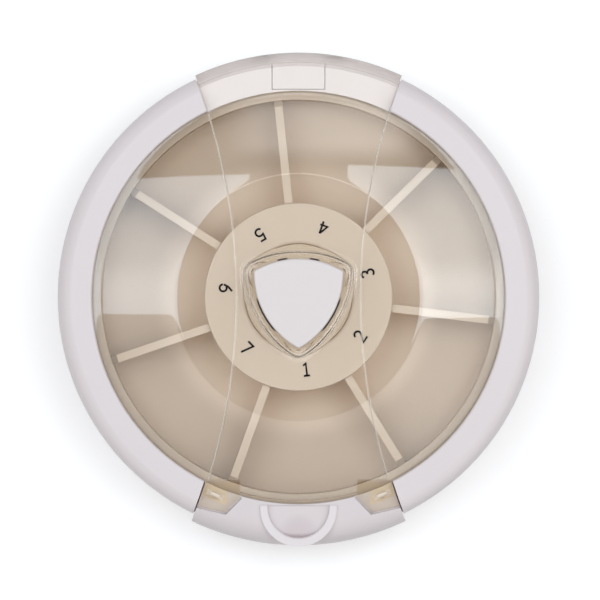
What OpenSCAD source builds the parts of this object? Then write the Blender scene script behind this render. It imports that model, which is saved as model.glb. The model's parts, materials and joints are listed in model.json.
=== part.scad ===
// Round push-button pill dispenser with seven compartments.
// Millimetres. The origin is on the tray's axis at the level that the feet stand on, +Z is up,
// the lid's hinge is at the back (+Y) and the thumb latch at the front (-Y).

/* [Casing] */
// Outside diameter of the rim
casing_d = 110; // [106:1:116]
// Width of the white rim, seen from above
rim_w = 8; // [7.6:0.1:9]
// Height of the rim's top above the table
rim_h = 21.5; // [21:0.1:23]
// Height of the joint between the base and the rim
base_h = 15; // [14.4:0.1:15.4]
// Thickness of the casing's walls
wall = 2; // [1.6:0.1:2.2]
// How far the base's side stands in from the rim's side
base_inset = 0.4; // [0.2:0.1:0.8]
// Radius of the base's lower edge
base_round = 3.3; // [2:0.1:4]
// How far the rubber feet stand out below the base
foot_h = 1; // [0.8:0.1:1.6]
// Diameter of a foot
foot_d = 9; // [7:0.5:12]
// Diameter of the circle through the feet
foot_circle_d = 84; // [70:1:86]

/* [Clear cover] */
// Thickness of the clear plastic
clear_t = 1.8; // [1.4:0.1:2]
// Height of the flat centre above the cover's edge
dome_rise = 3.3; // [2.9:0.1:4]
// Diameter of the flat centre
flat_d = 56.2; // [50:0.2:62]
// Width of the lid at its waist
waist_w = 28.2; // [27.6:0.1:32]
// Width of the lid at the rim
lid_end_w = 46.2; // [45:0.1:48]
// Gap between the lid and the windows
part_gap = 0.3; // [0.2:0.05:0.5]
// How far the lid's back lip stands out past the rim's side
lip_out = 0.8; // [0.6:0.1:1.2]

/* [Button] */
// Distance from the button's centre to its corners
cap_reach = 11.6; // [11:0.1:12]
// Radius of the button's corners
cap_round = 0.6; // [0.4:0.1:1.2]
// Height of the button above the lid's flat centre
cap_rise = 5.2; // [4.8:0.1:6]
// Height of the collar above the lid's flat centre
collar_rise = 3.6; // [3:0.1:4]
// Wall of the collar at its top
collar_t = 1.3; // [1:0.1:1.5]
// Travel of the button
stroke = 4.5; // [4:0.1:4.7]

/* [Tray] */
// Number of compartments
day_count = 7; // [5:1:7]
// Angle of the first divider, counter-clockwise from the right
first_divider = 96; // [90:1:100]
// Thickness of a divider
divider_t = 1.8; // [1.2:0.1:2.2]
// Thickness of the tray's hub
tray_wall = 1.5; // [1.2:0.1:1.8]
// Thickness of the tray's outer wall
tray_rim_t = 2.4; // [2:0.1:2.8]
// Thickness of the tray's floor
tray_floor = 1.5; // [1.2:0.1:1.8]
// Height of the tray's outer wall above its floor
tray_wall_h = 10.2; // [8:0.1:11.5]
// Radius of the tray's hub
hub_r = 20.5; // [20:0.1:21]
// Diameter of the number disc
disc_d = 42.7; // [42:0.1:46]
// Thickness of the number disc
disc_t = 1.2; // [1:0.1:1.4]
// Height of a printed number
numeral_h = 3; // [2:0.1:3.4]
// Distance of the numbers from the centre
numeral_r = 16.6; // [16:0.1:17.4]

/* [Mechanism] */
// Radius of the base's boss that the tray turns on
boss_r = 9; // [8.8:0.1:9.2]
// Height of the ratchet's teeth
tooth_h = 1.4; // [1:0.1:1.5]
// Outer radius of the plunger's tube
plunger_r = 6.7; // [6.5:0.1:6.8]
// Radius of the centre post's corners
post_r = 3.2; // [3:0.1:3.4]
// Wire of the return spring
wire_d = 0.7; // [0.5:0.1:0.8]
// Turns of the return spring
spring_turns = 4.5; // [3:0.5:5]

/* [Latch and hinge] */
// How far the latch stands out past the rim's side
latch_out = 1.8; // [1.4:0.1:2.4]
// How much further than the lid's sides the latch and the lugs reach
latch_spread = 0.5; // [0.4:0.1:1.4]
// Thickness of the latch's skin
latch_t = 1.6; // [1.2:0.1:1.8]
// Lower edge of the latch's apron above the table
apron_z = 9.5; // [8:0.1:10.4]
// Radius of the U rib round the thumb recess
thumb_r = 8.7; // [8:0.1:9.4]
// Width of the U rib at its legs
rib_t = 1.6; // [1.3:0.1:2]
// Radius of the latch pin
latch_pin_r = 0.9; // [0.7:0.1:1.1]
// Width of the hinge block
hinge_block_w = 11.9; // [11:0.1:13.5]
// Radius of the hinge pin
hinge_pin_r = 1; // [0.8:0.1:1.2]
// Width of each of the lid's knuckles
knuckle_w = 3; // [2.4:0.1:3.4]
// Radius of a knuckle
knuckle_r = 2.3; // [2.2:0.1:2.5]

/* [Hidden] */
$fn = 96;

white = [0.93, 0.92, 0.91];
beige = [0.86, 0.80, 0.71];
clear = [0.88, 0.84, 0.77, 0.45];
steel = [0.72, 0.72, 0.74];
eps = 0.01;
overlap = 0.4;

// Clearances
run_gap = 0.05;     // a shaft in its bearing
slide_gap = 0.25;   // plastic that slides beside plastic
loose_gap = 0.4;    // moving pieces that must never touch
seat_gap = 0.15;    // a piece in its pocket

// Casing
casing_r = casing_d / 2;
base_r = casing_r - base_inset;
base_in_r = base_r - wall;
base_z = foot_h;
floor_z = base_z + wall;
window_r = casing_r - rim_w;
spigot_h = 1.5;
spigot_t = 1.2;
spigot_r = base_in_r - seat_gap;
rim_in_r = spigot_r - spigot_t;
rim_side_h = 2.2;
foot_sink = 0.6;

// Clear cover, from the rim down and up
dome_edge_z = rim_h - 0.75;
lip_round_in = 0.6;
dome_edge_r = window_r - 0.4;
dome_top = dome_edge_z + dome_rise;
dome_under = dome_top - clear_t;
flat_r = flat_d / 2;
crown_r = (pow(dome_edge_r, 2) - pow(flat_r, 2)) / (2 * dome_rise);
flange_r = window_r + 2.6;
window_flange_z = dome_edge_z - clear_t;
lid_end_y = sqrt(pow(casing_r - 0.75, 2) - pow(lid_end_w / 2, 2));
flare = (lid_end_w - waist_w) / 2;
arc_r = (flare * flare + lid_end_y * lid_end_y) / (2 * flare);
arc_x = waist_w / 2 + arc_r;
function dome_z(r) = dome_top - max(0, r * r - flat_r * flat_r) / (2 * crown_r);

// Back end of the lid, over the rim's saddle
lip_r = casing_r + lip_out;
lip_round = 3.2;
saddle_gap = 0.4;
lip_c = [lip_r - lip_round, dome_edge_z - 0.35 - lip_round];
lip_bottom = base_h + 0.6;
saddle_round = lip_round - clear_t + 0.2 - saddle_gap;
saddle_z = lip_c[1] + saddle_round;
saddle_r = lip_c[0] + saddle_round;

// Hinge
hinge_y = casing_r - 1.8;
hinge_z = base_h - 2;
knuckle_x = hinge_block_w / 2 + 0.35;
hinge_notch_x = knuckle_x + knuckle_w + 0.6;
hinge_floor_z = hinge_z - knuckle_r - 0.5;
hinge_front_y = window_r + 0.4;
hinge_pocket_r = knuckle_r + 0.4;

// Tray, from the floor up
washer_t = 0.7;
washer_w = 8.2;
tray_z = floor_z + washer_t + 0.2;
tray_floor_z = tray_z + tray_floor;
tray_r = window_r + 0.4;
tray_in_r = tray_r - tray_rim_t;
tray_wall_z = tray_floor_z + tray_wall_h;
hinge_low_r = tray_r + loose_gap + 0.1;
disc_top = dome_under - 0.8;
disc_z = disc_top - disc_t;
disc_r = disc_d / 2;
disc_hole_r = cap_reach + 0.5;
day_pitch = 360 / day_count;
function day_angle(k) = first_divider + day_pitch * (floor(day_count / 2) + 0.5 + k);
ink_t = 0.12;
stroke_w = 0.15 * numeral_h;
sleeve_r = boss_r + 2;
sleeve_h = 1;

// Ratchet
ratchet_in_r = sleeve_r + 1.2;
ratchet_out_r = hub_r - tray_wall - 1.4;
ratchet_t = 0.7;
tooth_share = 0.82;
tooth_root = 0.3;
ratchet_gap = 0.35;
rotor_flange_z = tray_floor_z + ratchet_t + 2 * tooth_h + ratchet_gap;
rotor_flange_t = 1.5;
rotor_skirt_z = tray_floor_z + sleeve_h + loose_gap;

// Plunger, rotor tube and post, from the number disc down
plunger_top = disc_top - 0.45;
plunger_flange_t = 1.2;
plunger_flange_z = plunger_top - plunger_flange_t;
plunger_flange_r = disc_hole_r - slide_gap;
plunger_in_r = plunger_r - 1.2;
rotor_top = plunger_flange_z - stroke - loose_gap;
lug_h = 1.6;
lug_z = rotor_top - lug_h / 2;
lug_reach = 1.1;
lug_angle = 24;
helix_rate = day_pitch / stroke;
plunger_bottom = lug_z - lug_h / 2 - 0.1;
boss_top = plunger_bottom - stroke - 0.5;
rotor_in_r = plunger_r + slide_gap;
groove_r = plunger_r + lug_reach + slide_gap;
rotor_tube_r = groove_r + 1.1;
spring_r = rotor_tube_r + 0.35 + wire_d / 2;
guide_r = post_r + 1.5;
guide_h = 3.4;
post_spigot_r = post_r - 0.25;
post_z = floor_z + 0.6;
clip_t = 0.6;
clip_r = post_r + 1;
clip_z = plunger_top + 0.2;
clip_groove_r = post_r - 0.8;
post_top = clip_z + clip_t + 0.55;

// Button
cap_top = dome_top + cap_rise;
cap_skin = 1.4;
cap_roof = 1.6;
collar_top = dome_top + collar_rise;
collar_gap_top = 0.5;
collar_gap_low = 1.55;
collar_flare = 0.6;

// Latch
latch_r = casing_r + latch_out;
latch_round = 5.8;
latch_top = rim_h - 0.2;
latch_in_r = window_r + 0.2;
latch_c = [latch_r - latch_round, latch_top - latch_round];
latch_y = -(tray_r + base_in_r) / 2 + 0.75;
latch_z = base_h - 2.5;
latch_eye_r = latch_pin_r + 1;
latch_arm_x = 7.5;
latch_arm_w = 2.5;
ear_x = latch_arm_x + latch_arm_w + 0.4;
ear_w = 2.2;
ear_y = -latch_y - latch_eye_r;
shelf_t = 1.6;
lug_floor_z = window_flange_z - 0.15;
shelf_z = lug_floor_z - 0.3 - shelf_t;
thumb_y = -(window_r + 1.1);
rib_top = rim_h + 0.4;

// Lid lugs: plan corners on the right side, from the lid's edge outwards. The side next to the rim
// is cut off by the lid's own arc, moved out by latch_spread.
lug_top = dome_edge_z + 0.9;
lug_inner_x = lid_end_w / 2 - 9.8;
lug_plan = [
  [lid_end_w / 2 + 2, -window_r + 4], [lid_end_w / 2 + 2, -window_r - 0.1],
  [lug_inner_x + 3.4, -window_r - 2.1], [lug_inner_x, -window_r + 1.3], [lug_inner_x, -window_r + 4]
];
slot_r = window_r + 1.9;
slot_at = asin((lug_inner_x + 5.7) / slot_r);
slot_l = 4.1;
slot_w = 1.4;
hook_l = 2.3;
hook_w = 0.7;

// Fasteners and small parts
screw_r = 1;
screw_head_r = 1.8;
screw_head_h = 1.3;
screw_sink = 2.4;
post_screw_sink = 1.6;
screw_grip = 3.2;
screw_boss_r = 2.3;
screw_circle_r = base_in_r - screw_boss_r - 0.1;
screw_angles = [40, 140, 212, 328];
detent_at = 180;
detent_leaf_r = tray_r + 1.7;
detent_leaf_t = 0.4;
detent_bump_r = 0.9;
detent_z = floor_z + 3;
detent_h = 6;
detent_span = 15.2;

function polar(r, a) = [r * cos(a), r * sin(a)];
function arc(c, r, from, to, steps) = [for (i = [0:steps]) c + polar(r, from + (to - from) * i / steps)];

// A triangle with three bulging sides, each an arc about the corner opposite, and rounded corners.
function bulged_triangle(reach, round) =
  let (c = reach - round, side = sqrt(3) * c + round)
  [for (a = [270, 30, 150]) each concat(
    arc(polar(c, a), round, a - 30, a + 30, 5),
    [for (i = [1:11]) polar(c, a - 120) + polar(side, a + 30 + 60 * i / 12)]
  )];

// Closed tube swept along a helix about the Z axis.
module coil(radius, wire, height, turns, sides = 6, steps = 20) {
  rings = turns * steps;
  rise = (height - wire) / rings;
  points = [for (i = [0:rings], k = [0:sides - 1])
    let (a = 360 * i / steps, t = 360 * k / sides, r = radius + wire / 2 * cos(t))
    [r * cos(a), r * sin(a), wire / 2 + rise * i + wire / 2 * sin(t)]];
  skin = [for (i = [0:rings - 1], k = [0:sides - 1])
    let (a = i * sides + k, b = i * sides + (k + 1) % sides)
    each [[a, b, b + sides], [a, b + sides, a + sides]]];
  last = rings * sides;
  ends = [for (k = [1:sides - 2]) each [[0, k + 1, k], [last, last + k, last + k + 1]]];
  polyhedron(points = points, faces = concat(skin, ends));
}

// Column that the lid fills, between the two large arcs. grow widens it on both sides.
module lid_column(grow = 0) {
  difference() {
    translate([-casing_d / 2, -casing_d, -1]) cube([casing_d, 2 * casing_d, casing_d]);
    for (s = [-1, 1]) translate([s * arc_x, 0, -2]) cylinder(r = arc_r - grow, h = casing_d + 2, $fn = 240);
  }
}

module front_half() translate([-casing_d, -2 * casing_d, -1]) cube([2 * casing_d, 2 * casing_d, casing_d]);
module back_half() translate([-casing_d, 0, -1]) cube([2 * casing_d, 2 * casing_d, casing_d]);

module tube_ring(r_in, r_out, z, h) {
  translate([0, 0, z]) difference() {
    cylinder(r = r_out, h = h);
    translate([0, 0, -1]) cylinder(r = r_in, h = h + 2);
  }
}

module along_x(x, w) translate([x, 0, 0]) rotate([90, 0, 90]) linear_extrude(w) children();

// Ramp-shaped face teeth, one to a compartment. side is 1 for teeth that point up and -1 for teeth
// that hang down. The steep faces of both kinds meet where a tooth starts.
module face_teeth(z, side) {
  length = -side * tooth_share * 2 * PI * ratchet_in_r / day_count;
  intersection() {
    for (k = [0:day_count - 1]) rotate(first_divider + k * day_pitch)
      translate([ratchet_in_r + 0.3, 0, z])
        rotate([90, 0, 90]) linear_extrude(ratchet_out_r - ratchet_in_r - 0.9) polygon([
          [0, -side * tooth_root], [length, -side * tooth_root], [length, side * 0.1], [0, side * tooth_h]
        ]);
    tube_ring(ratchet_in_r + 0.1, ratchet_out_r - 0.2, z - 2 * tooth_h, 4 * tooth_h);
  }
}

module base_shell() color(white) {
  difference() {
    union() {
      rotate_extrude() polygon(concat(
        [[boss_r - 1, base_z], [base_r - base_round, base_z]],
        arc([base_r - base_round, base_z + base_round], base_round, -80, 0, 6),
        [[base_r, base_h], [base_in_r, base_h], [base_in_r, floor_z + 1.4],
         [base_in_r - 1.4, floor_z], [boss_r - 1, floor_z]]
      ));
      translate([0, 0, base_z]) cylinder(r = boss_r, h = boss_top - base_z);
      intersection() {
        for (a = screw_angles) rotate(a) translate([screw_circle_r, 0, floor_z - 0.5])
          cylinder(r = screw_boss_r, h = base_h - spigot_h - 0.1 - floor_z + 0.5, $fn = 48);
        translate([0, 0, base_z]) cylinder(r = base_r - 0.5, h = base_h);
      }
      latch_ears();
      detent_posts();
    }
    translate([0, 0, post_z - 0.1]) cylinder(r = post_spigot_r + run_gap, h = boss_top, $fn = 48);
    cylinder(r = screw_r + 0.2, h = boss_top, $fn = 32);
    cylinder(r = screw_head_r + 0.2, h = base_z + post_screw_sink, $fn = 32);
    for (a = screw_angles) rotate(a) translate([screw_circle_r, 0, 0]) {
      cylinder(r = screw_r + 0.15, h = base_h + 1, $fn = 32);
      cylinder(r = screw_head_r + 0.2, h = base_z + screw_sink, $fn = 32);
    }
    for (a = [45:90:315]) rotate(a) translate([foot_circle_d / 2, 0, 0])
      cylinder(r = foot_d / 2 + seat_gap, h = base_z + foot_sink, $fn = 48);
    translate([-hinge_notch_x, base_in_r - 4, hinge_floor_z]) cube([2 * hinge_notch_x, 8, base_h]);
  }
}

module latch_ears() {
  for (s = [-1, 1]) intersection() {
    difference() {
      translate([s * (ear_x + ear_w / 2) - ear_w / 2, -base_r, floor_z - 0.5])
        cube([ear_w, base_r - ear_y, latch_z + latch_pin_r + 1.2 - floor_z + 0.5]);
      translate([-base_r, latch_y, latch_z]) rotate([0, 90, 0])
        cylinder(r = latch_pin_r + run_gap, h = 2 * base_r, $fn = 48);
    }
    translate([0, 0, base_z]) cylinder(r = base_r - 0.5, h = base_h);
  }
}

module detent_posts() {
  for (a = [-10, 10]) rotate(detent_at + a)
    translate([detent_leaf_r + detent_leaf_t + 0.1, -1.2, floor_z - 0.5])
      cube([base_r - 0.6 - detent_leaf_r - detent_leaf_t - 0.1, 2.4, detent_z + detent_h - floor_z + 0.5]);
}

module base_feet() color([0.35, 0.35, 0.36]) {
  for (a = [45:90:315]) rotate(a) translate([foot_circle_d / 2, 0, 0])
    cylinder(r = foot_d / 2, h = base_z + foot_sink, $fn = 48);
}

module rim_ring() color(white) {
  difference() {
    union() {
      rotate_extrude() polygon(concat(
        [[casing_r, base_h], [casing_r, base_h + rim_side_h]],
        arc([casing_r - 4.2, rim_h - 4.2], 4.2, 0, 80, 8),
        arc([window_r + lip_round_in, rim_h - lip_round_in], lip_round_in, 90, 180, 4),
        [[window_r, dome_edge_z], [flange_r + 0.2, dome_edge_z], [flange_r + 0.2, window_flange_z],
         [rim_in_r + 1, window_flange_z - 1], [rim_in_r, window_flange_z - 2],
         [rim_in_r, base_h - spigot_h], [spigot_r, base_h - spigot_h], [spigot_r, base_h]]
      ));
      for (a = screw_angles) rotate(a) translate([screw_circle_r, 0, base_h - spigot_h])
        cylinder(r = screw_boss_r, h = window_flange_z - 0.2 - base_h + spigot_h, $fn = 48);
      saddle_shelf();
    }
    for (a = screw_angles) rotate(a) translate([screw_circle_r, 0, base_h - spigot_h - 1])
      cylinder(r = screw_r + run_gap, h = screw_grip + 1.8, $fn = 32);
    intersection() {
      lid_column(part_gap / 2);
      back_half();
      rotate_extrude() polygon(concat(
        [[window_r - 5, saddle_z]],
        arc(lip_c, saddle_round, 90, 0, 5),
        [[saddle_r, base_h - 5], [casing_r + 5, base_h - 5], [casing_r + 5, rim_h + 5],
         [window_r - 5, rim_h + 5]]
      ));
    }
    front_opening();
    translate([-hinge_block_w / 2 - seat_gap, hinge_front_y - seat_gap, base_h - 5])
      cube([hinge_block_w + 2 * seat_gap, rim_w + 5, rim_h]);
    along_x(-hinge_notch_x, 2 * hinge_notch_x) {
      translate([hinge_y, hinge_z]) circle(r = hinge_pocket_r, $fn = 48);
      translate([hinge_y - hinge_pocket_r, hinge_floor_z - 5])
        square([rim_w, hinge_z - hinge_floor_z + 5]);
      translate([hinge_y, hinge_z]) square([rim_w, hinge_pocket_r]);
    }
  }
}

// The rim's gap for the latch and the lid's lugs.
module front_opening() intersection() {
  lid_column(latch_spread + part_gap);
  front_half();
  tube_ring(dome_edge_r - 0.1, casing_r + 5, base_h - 5, rim_h);
}

// Shelf under the lid's back end, inside the saddle.
module saddle_shelf() intersection() {
  lid_column(part_gap / 2 + 1);
  back_half();
  rotate_extrude() polygon([
    [window_r, saddle_z - 1.6], [window_r, saddle_z], [rim_in_r + 1, saddle_z], [rim_in_r + 1, saddle_z - 1.6]
  ]);
}

module casing_screws() color(steel) {
  for (a = screw_angles) rotate(a) translate([screw_circle_r, 0, 0])
    screw(base_z + screw_sink - screw_head_h, base_h - spigot_h + screw_grip);
}

// Pan-head screw with a slot, pointing up.
module screw(z, top) {
  difference() {
    union() {
      translate([0, 0, z]) cylinder(r = screw_head_r, h = screw_head_h, $fn = 32);
      translate([0, 0, z]) cylinder(r = screw_r, h = top - z, $fn = 32);
    }
    translate([-screw_head_r, -0.25, z - 1]) cube([2 * screw_head_r, 0.5, 1.6]);
  }
}

// The dome's wall, from a small radius in the middle to its edge: level first, then part of a large
// sphere.
module dome() {
  steps = 5;
  top = [for (i = [0:steps]) let (r = flat_r + (dome_edge_r - flat_r) * i / steps) [r, dome_z(r)]];
  rotate_extrude() polygon(concat(
    [[waist_w / 4, dome_under], [waist_w / 4, dome_top]], top,
    [for (i = [steps:-1:0]) top[i] - [0, clear_t]]
  ));
}

module window(side) color(clear) {
  difference() {
    intersection() {
      union() {
        dome();
        tube_ring(dome_edge_r - eps, flange_r, window_flange_z, clear_t);
      }
      translate([side * arc_x, 0, -1]) cylinder(r = arc_r - part_gap / 2, h = casing_d, $fn = 240);
    }
    front_opening();
  }
}

module left_window() window(-1);
module right_window() window(1);

module hinge_block() color(white) {
  difference() {
    intersection() {
      translate([-hinge_block_w / 2, hinge_front_y, hinge_floor_z])
        cube([hinge_block_w, rim_w, rim_h - hinge_floor_z]);
      rotate_extrude() polygon(concat(
        [[hinge_low_r, hinge_floor_z], [hinge_low_r, tray_wall_z + loose_gap],
         [window_r, tray_wall_z + loose_gap], [window_r, saddle_z]],
        arc(lip_c, saddle_round, 90, 0, 5),
        [[saddle_r, hinge_floor_z]]
      ));
    }
    translate([-casing_r, hinge_y, hinge_z]) rotate([0, 90, 0])
      cylinder(r = hinge_pin_r + run_gap / 2, h = casing_d, $fn = 48);
  }
}

module hinge_pin() color(steel) {
  length = 2 * (knuckle_x + knuckle_w + 0.3);
  translate([-length / 2, hinge_y, hinge_z]) rotate([0, 90, 0])
    cylinder(r = hinge_pin_r, h = length, $fn = 48);
}

module latch_pin() color(steel) {
  length = 2 * (ear_x + ear_w);
  translate([-length / 2, latch_y, latch_z]) rotate([0, 90, 0])
    cylinder(r = latch_pin_r, h = length, $fn = 48);
}

module centre_post() color(steel) {
  difference() {
    union() {
      translate([0, 0, post_z]) cylinder(r = post_spigot_r, h = boss_top - post_z, $fn = 48);
      translate([0, 0, boss_top]) cylinder(r = post_r, h = clip_z - boss_top, $fn = 6);
      translate([0, 0, clip_z - eps]) cylinder(r = clip_groove_r, h = clip_t + 0.1, $fn = 48);
      translate([0, 0, clip_z + clip_t + 0.05])
        cylinder(r = post_spigot_r, h = post_top - clip_z - clip_t - 0.05, $fn = 48);
    }
    cylinder(r = screw_r + run_gap, h = boss_top + 2, $fn = 32);
  }
}

module post_screw() color(steel) screw(base_z + post_screw_sink - screw_head_h, boss_top + 1);

module retaining_clip() color(steel) {
  difference() {
    tube_ring(clip_groove_r + run_gap, clip_r, clip_z + 0.02, clip_t - 0.04);
    translate([0, -clip_groove_r * 0.8, 0]) cube([clip_r + 1, clip_groove_r * 1.6, post_top + 1]);
  }
}

module thrust_washer() color([0.9, 0.9, 0.88])
  tube_ring(boss_r + 0.3, boss_r + 0.3 + washer_w, floor_z, washer_t);

// Leaf with a bump that drops into the grooves of the tray's outer wall.
module detent_spring() color(steel) {
  intersection() {
    union() {
      tube_ring(detent_leaf_r, detent_leaf_r + detent_leaf_t, detent_z, detent_h);
      rotate(detent_at) translate([tray_r + 0.35 + detent_bump_r, 0, detent_z])
        cylinder(r = detent_bump_r, h = detent_h, $fn = 32);
    }
    rotate(detent_at) translate([detent_leaf_r, 0, 0]) rotate([0, 0, 45])
      translate([-detent_span / 2, -detent_span / 2, 0]) cube([detent_span, detent_span, base_h]);
  }
}

module clear_lid() color(clear) {
  difference() {
    union() {
      intersection() {
        lid_column(-part_gap / 2);
        union() {
          dome();
          intersection() { lid_back_end(); back_half(); }
        }
      }
      collar_outside();
      for (s = [-1, 1]) lid_lug(s);
      for (s = [-1, 1]) lid_knuckle(s);
    }
    collar_inside();
    translate([-casing_r, hinge_y, hinge_z]) rotate([0, 90, 0])
      cylinder(r = hinge_pin_r + run_gap, h = casing_d, $fn = 48);
  }
}

// Plate over the saddle and lip behind the rim.
module lid_back_end() rotate_extrude() polygon(concat(
  [[dome_edge_r - overlap, dome_edge_z - overlap], [dome_edge_r, dome_edge_z]],
  arc(lip_c, lip_round, 90, 0, 6),
  [[lip_r, lip_bottom], [lip_r - lip_round + saddle_round + saddle_gap, lip_bottom]],
  arc(lip_c, saddle_round + saddle_gap, 0, 90, 5),
  [[dome_edge_r, window_flange_z], [dome_edge_r - overlap, window_flange_z + overlap]]
));

module collar_outside() {
  low = cap_reach + collar_gap_top + collar_t + collar_flare;
  high = low - collar_flare;
  translate([0, 0, dome_top - clear_t / 2])
    linear_extrude(collar_top - dome_top + clear_t / 2, scale = high / low)
      polygon(bulged_triangle(low, cap_round + collar_t));
}

module collar_inside() {
  low = cap_reach + collar_gap_low;
  high = cap_reach + collar_gap_top;
  translate([0, 0, dome_under - eps])
    linear_extrude(collar_top - dome_under + 2 * eps, scale = high / low)
      polygon(bulged_triangle(low, cap_round + collar_gap_top));
}

module lid_lug(side) mirror([side < 0 ? 1 : 0, 0, 0]) difference() {
  intersection() {
    translate([0, 0, lug_floor_z]) linear_extrude(lug_top - lug_floor_z) polygon(lug_plan);
    union() {
      lid_column(-part_gap / 2);
      intersection() {
        lid_column(latch_spread);
        tube_ring(dome_edge_r + 0.2, casing_r, 0, rim_h + 5);
      }
    }
  }
  rotate(slot_at - 90) translate([slot_r - slot_w / 2, -slot_l / 2, 0]) cube([slot_w, slot_l, rim_h + 5]);
  translate([0, 0, lug_floor_z - 1]) cylinder(r = dome_edge_r - 0.6, h = window_flange_z - lug_floor_z + 1);
}

// Eye on the pin, joined to the back lip from below.
module lid_knuckle(side) mirror([side < 0 ? 1 : 0, 0, 0]) along_x(knuckle_x, knuckle_w) {
  translate([hinge_y, hinge_z]) circle(r = knuckle_r, $fn = 48);
  polygon([
    [hinge_y + 0.2, hinge_z + knuckle_r - 0.1], [hinge_y + knuckle_r - 0.1, hinge_z],
    [lip_r - 0.9, lip_bottom + 0.8], [lip_r - 2.1, lip_bottom + 0.8]
  ]);
}

module front_latch() color(white) {
  difference() {
    union() {
      intersection() {
        lid_column(latch_spread);
        front_half();
        latch_skin();
      }
      latch_shelves();
      thumb_rib();
      for (s = [-1, 1]) latch_arm(s);
    }
    for (s = [-1, 1]) lug_notch(s);
    thumb_dish();
    translate([-casing_r, latch_y, latch_z]) rotate([0, 90, 0])
      cylinder(r = latch_pin_r + run_gap, h = casing_d, $fn = 48);
  }
  for (s = [-1, 1]) latch_hook(s);
}

module latch_skin() rotate_extrude() polygon(concat(
  [[latch_in_r, latch_top]],
  arc(latch_c, latch_round, 90, 0, 10),
  [[latch_r, apron_z], [latch_r - latch_t, apron_z]],
  arc(latch_c, latch_round - latch_t, 0, 90, 10),
  [[latch_in_r, latch_top - latch_t]]
));

// Two shelves under the lid's lugs, joined to the apron.
module latch_shelves() intersection() {
  lid_column(latch_spread);
  front_half();
  tube_ring(latch_in_r, latch_r - latch_t + 0.4, shelf_z, shelf_t);
  union() for (s = [-1, 1]) translate([s * window_r * 0.41 - window_r * 0.14, -casing_d, 0])
    cube([window_r * 0.28, casing_d, rim_h]);
}

module thumb_rib() intersection() {
  difference() {
    translate([0, thumb_y, latch_c[1] + 1.5]) cylinder(r = thumb_r, h = rib_top - latch_c[1] - 1.5);
    translate([0, thumb_y + rib_t * 0.25, 0]) cylinder(r = thumb_r - rib_t, h = rib_top + 1);
    translate([0, 0, -1]) cylinder(r = latch_c[0] + 1, h = latch_top - latch_t + 1.1);
  }
  translate([-casing_r, -casing_d + thumb_y + 0.7, 0]) cube([casing_d, casing_d, casing_r]);
}

module thumb_dish() intersection() {
  translate([0, thumb_y + rib_t * 0.25, latch_top - 0.7]) cylinder(r = thumb_r - rib_t, h = 5);
  translate([-casing_r, -casing_d + thumb_y + 0.7, 0]) cube([casing_d, casing_d, casing_r]);
}

module lug_notch(side) mirror([side < 0 ? 1 : 0, 0, 0]) {
  g = loose_gap;
  translate([0, 0, shelf_z + shelf_t]) linear_extrude(rim_h) polygon([
    lug_plan[0] + [g, 4], lug_plan[1] + [g, -g], lug_plan[2] + [-g / 2, -g * 1.2],
    lug_plan[3] + [-g, -g / 2], lug_plan[4] + [-g, 4]
  ]);
}

module latch_hook(side) mirror([side < 0 ? 1 : 0, 0, 0]) rotate(slot_at - 90)
  translate([slot_r - slot_w / 2 + 0.25, -hook_l / 2, shelf_z + shelf_t / 2])
    cube([hook_w, hook_l, lug_top - 0.2 - shelf_z - shelf_t / 2]);

module latch_arm(side) mirror([side < 0 ? 1 : 0, 0, 0]) along_x(latch_arm_x, latch_arm_w) {
  translate([latch_y, latch_z]) circle(r = latch_eye_r, $fn = 48);
  translate([latch_y - 1.2, latch_z]) square([2.4, latch_top - latch_t / 2 - latch_z]);
}

module button_cap() color(white) {
  difference() {
    translate([0, 0, plunger_top]) linear_extrude(cap_top - plunger_top)
      polygon(bulged_triangle(cap_reach, cap_round));
    translate([0, 0, plunger_top - 1]) linear_extrude(cap_top - cap_roof - plunger_top + 1)
      polygon(bulged_triangle(cap_reach - cap_skin, cap_round));
  }
  tube_ring(guide_r + 0.3, guide_r + 1.5, plunger_top, cap_top - cap_roof - plunger_top + eps);
}

// Sector of a ring that turns as it rises, for the plunger's lugs and the rotor's grooves.
module helical_sector(r_in, r_out, half_angle, z_low, z_high) {
  height = z_high - z_low;
  translate([0, 0, z_low]) rotate((lug_z - z_low) * helix_rate)
    linear_extrude(height, twist = helix_rate * height, slices = max(4, ceil(height * 1.6)), $fn = 3)
      polygon(concat(
        arc([0, 0], r_out, -half_angle, half_angle, 4), arc([0, 0], r_in, half_angle, -half_angle, 4)
      ));
}

module button_plunger() color(beige) {
  difference() {
    union() {
      translate([0, 0, plunger_flange_z]) cylinder(r = plunger_flange_r, h = plunger_flange_t);
      tube_ring(plunger_in_r, plunger_r, plunger_bottom, plunger_flange_z - plunger_bottom + 0.5);
      translate([0, 0, plunger_flange_z - guide_h]) cylinder(r = guide_r, h = guide_h + 0.5);
      for (a = [0, 120, 240]) rotate(a)
        helical_sector(plunger_r - 0.5, plunger_r + lug_reach, lug_angle / 2,
          lug_z - lug_h / 2, lug_z + lug_h / 2);
    }
    translate([0, 0, plunger_bottom - 1]) cylinder(r = post_r + seat_gap, h = plunger_top, $fn = 6);
  }
}

module return_spring() color(steel) {
  low = rotor_flange_z + rotor_flange_t + 0.05;
  translate([0, 0, low]) coil(spring_r, wire_d, plunger_flange_z - 0.05 - low, spring_turns);
}

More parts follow.
